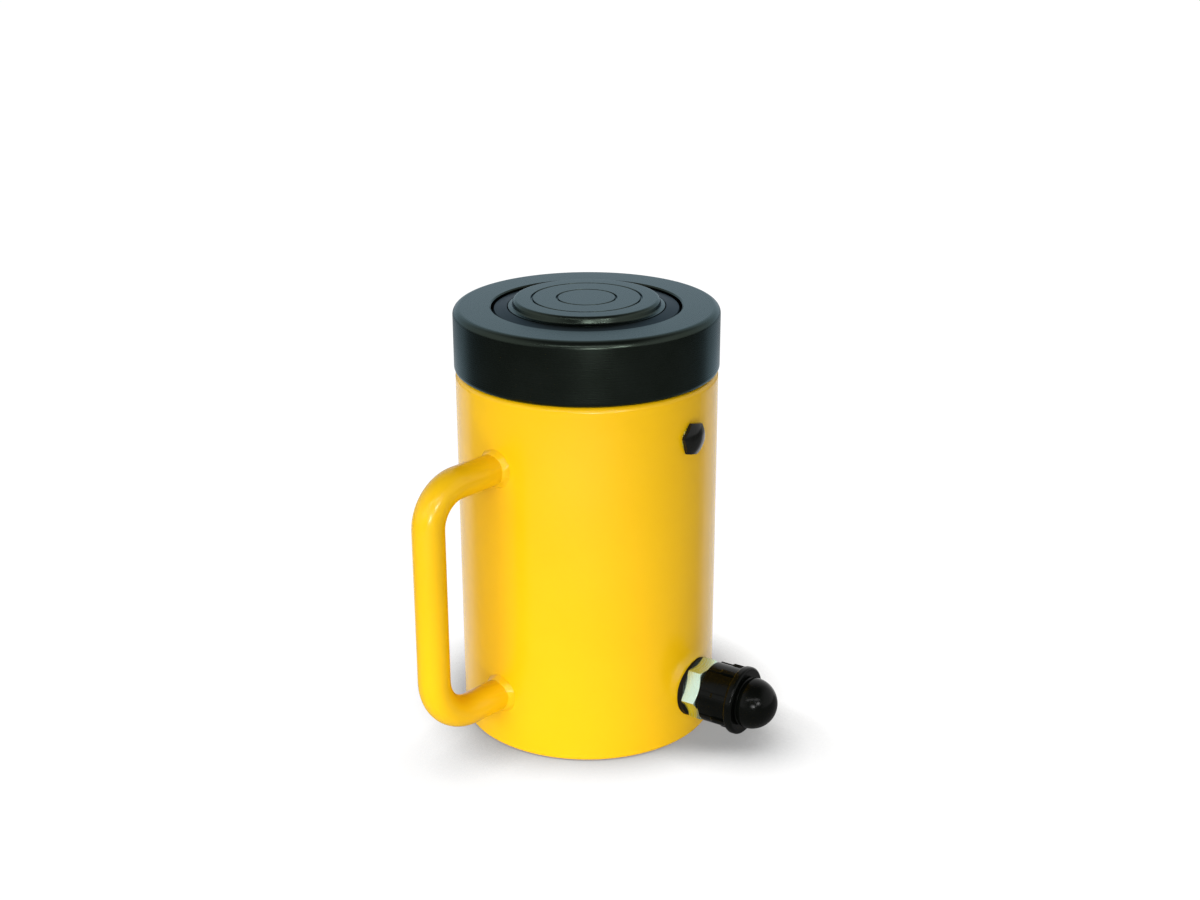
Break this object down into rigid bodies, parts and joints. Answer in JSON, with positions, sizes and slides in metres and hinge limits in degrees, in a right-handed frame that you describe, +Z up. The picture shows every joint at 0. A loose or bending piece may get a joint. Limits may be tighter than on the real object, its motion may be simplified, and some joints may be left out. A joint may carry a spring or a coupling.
{
  "type": "locking collar hydraulic jack",
  "caption": "Single-acting hydraulic cylinder jack with a threaded plunger, a lock nut collar, a tilting saddle, a capped oil coupler and a welded carry handle.",
  "frame": {"origin": "centre of the cylinder's base face, on its axis", "axes": "+Z up along the cylinder's axis, +X out along the oil port; the carry handle is 99.4 degrees round from +X towards -Y"},
  "size_m": [0.2234, 0.2289, 0.28],
  "materials": {
    "yellow_enamel": "gloss enamel",
    "black_steel": "black oxide, oiled, satin",
    "black_steel_bright": "black oxide, gloss",
    "bush_bronze": "turned bronze",
    "bearing_strip": "bronze-filled PTFE",
    "seal_polyurethane": "moulded polyurethane",
    "white_plastic": "turned acetal",
    "black_rubber": "moulded rubber",
    "zinc_steel": "zinc plated, faint greenish yellow passivation",
    "bright_steel": "ground steel",
    "black_plastic": "moulded, gloss"
  },
  "bodies": {
    "cylinder": {"cylinder_body": "yellow_enamel", "guide_bush": "bush_bronze", "bush_bearing_strip": "bearing_strip", "vent_plug": "black_steel_bright", "vent_plug_seal": "zinc_steel", "port_seal_washer": "black_rubber", "coupler_body": "zinc_steel", "coupler_o_ring": "black_rubber", "poppet_retainer": "bright_steel", "poppet_spring": "bright_steel", "carry_handle": "yellow_enamel", "handle_weld_lower": "yellow_enamel", "handle_weld_upper": "yellow_enamel"},
    "plunger": {"plunger": "black_steel", "piston_wear_ring": "bearing_strip", "piston_seal": "seal_polyurethane", "seal_energiser": "black_rubber", "piston_backup_ring": "white_plastic"},
    "lock_nut": {"lock_nut": "black_steel"},
    "saddle": {"tilt_saddle": "black_steel", "saddle_retaining_ring": "black_rubber"},
    "poppet": {"coupler_poppet": "bright_steel"},
    "cap_seal": {"cap_seal_disc": "black_rubber"},
    "dust_cap": {"dust_cap": "black_plastic"}
  },
  "joints": [
    {"name": "lock_nut_spin", "type": "hinge", "parent": "cylinder", "child": "lock_nut", "pos_m": [0, 0, 0.25525], "axis": [0, 0, 1], "range_deg": [-9000, 0]},
    {"name": "plunger_lift", "type": "slide", "parent": "cylinder", "child": "plunger", "axis": [0, 0, 1], "range_m": [0, 0.15]},
    {"name": "saddle_tilt", "type": "hinge", "parent": "plunger", "child": "saddle", "pos_m": [0, 0, 0.30944], "axis": [0, 1, 0], "range_deg": [-5, 5]},
    {"name": "dust_cap_travel", "type": "slide", "parent": "cylinder", "child": "cap_seal", "axis": [1, 0, 0], "range_m": [0, 0.018]},
    {"name": "dust_cap_turn", "type": "hinge", "parent": "cap_seal", "child": "dust_cap", "pos_m": [0.12, 0, 0.0332], "axis": [1, 0, 0], "range_deg": [0, 2160]},
    {"name": "poppet_travel", "type": "slide", "parent": "cylinder", "child": "poppet", "axis": [-1, 0, 0], "range_m": [0, 0.003], "stiffness_N_per_m": 3000, "springref_m": -0.003, "deforming": ["poppet_spring"]}
  ],
  "couplings": [
    {"joint": "plunger_lift", "follows": "lock_nut_spin", "m_per_rad": -0.00095493},
    {"joint": "dust_cap_travel", "follows": "dust_cap_turn", "m_per_rad": 0.00047746}
  ]
}
